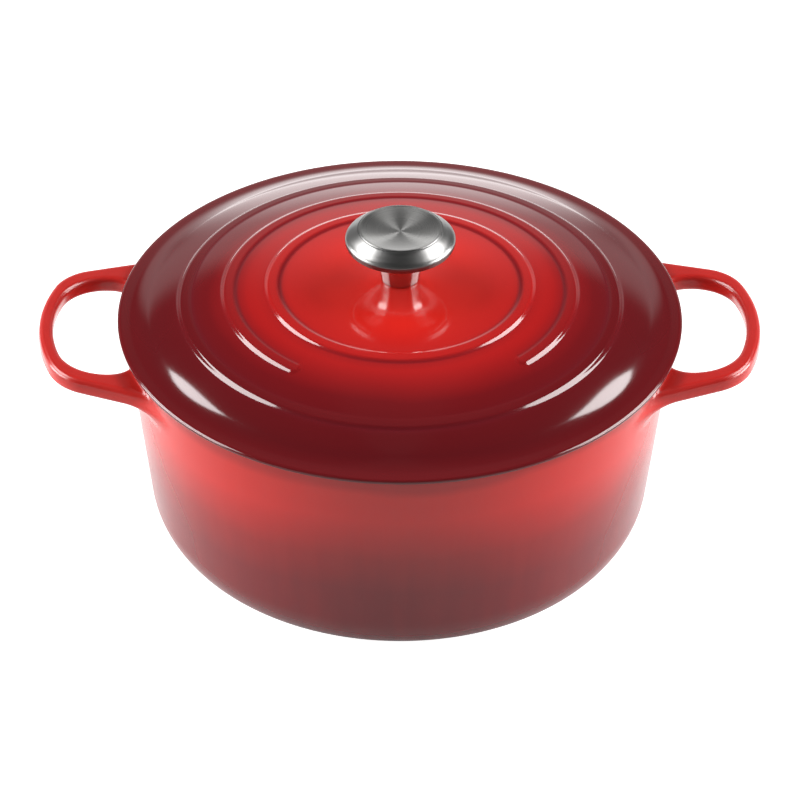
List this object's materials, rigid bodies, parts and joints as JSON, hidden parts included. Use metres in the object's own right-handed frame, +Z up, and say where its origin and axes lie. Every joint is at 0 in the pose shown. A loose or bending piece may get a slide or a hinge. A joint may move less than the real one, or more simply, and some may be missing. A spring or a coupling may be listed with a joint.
{
  "type": "dutch oven",
  "caption": "Round enamelled cast iron dutch oven with tapered wall, loop handles and a ringed, domed lift-off lid with a turned steel knob.",
  "frame": {"origin": "centre of the flat foot, on the surface that the pot stands on", "axes": "+Z up through the knob, +X out through a loop handle"},
  "size_m": [0.3736, 0.292, 0.1819],
  "materials": {
    "pot_enamel": "gloss enamel, red shaded darker towards the foot, pale inside, matt dark rim",
    "lid_enamel": "gloss enamel, orange red at the centre shaded to maroon at the edge, pale inside",
    "knob_steel": "spun and polished stainless steel",
    "fixing_steel": "plain stainless steel"
  },
  "bodies": {
    "pot": {"pot": "pot_enamel"},
    "lid": {"lid": "lid_enamel", "knob_top": "knob_steel", "knob_skirt": "knob_steel", "knob_bush": "fixing_steel", "knob_screw": "fixing_steel", "flat_washer": "fixing_steel", "spring_washer": "fixing_steel"}
  },
  "joints": [
    {"name": "lid_lift", "type": "slide", "parent": "pot", "child": "lid", "axis": [0, 0, 1], "range_m": [0, 0.16]}
  ]
}
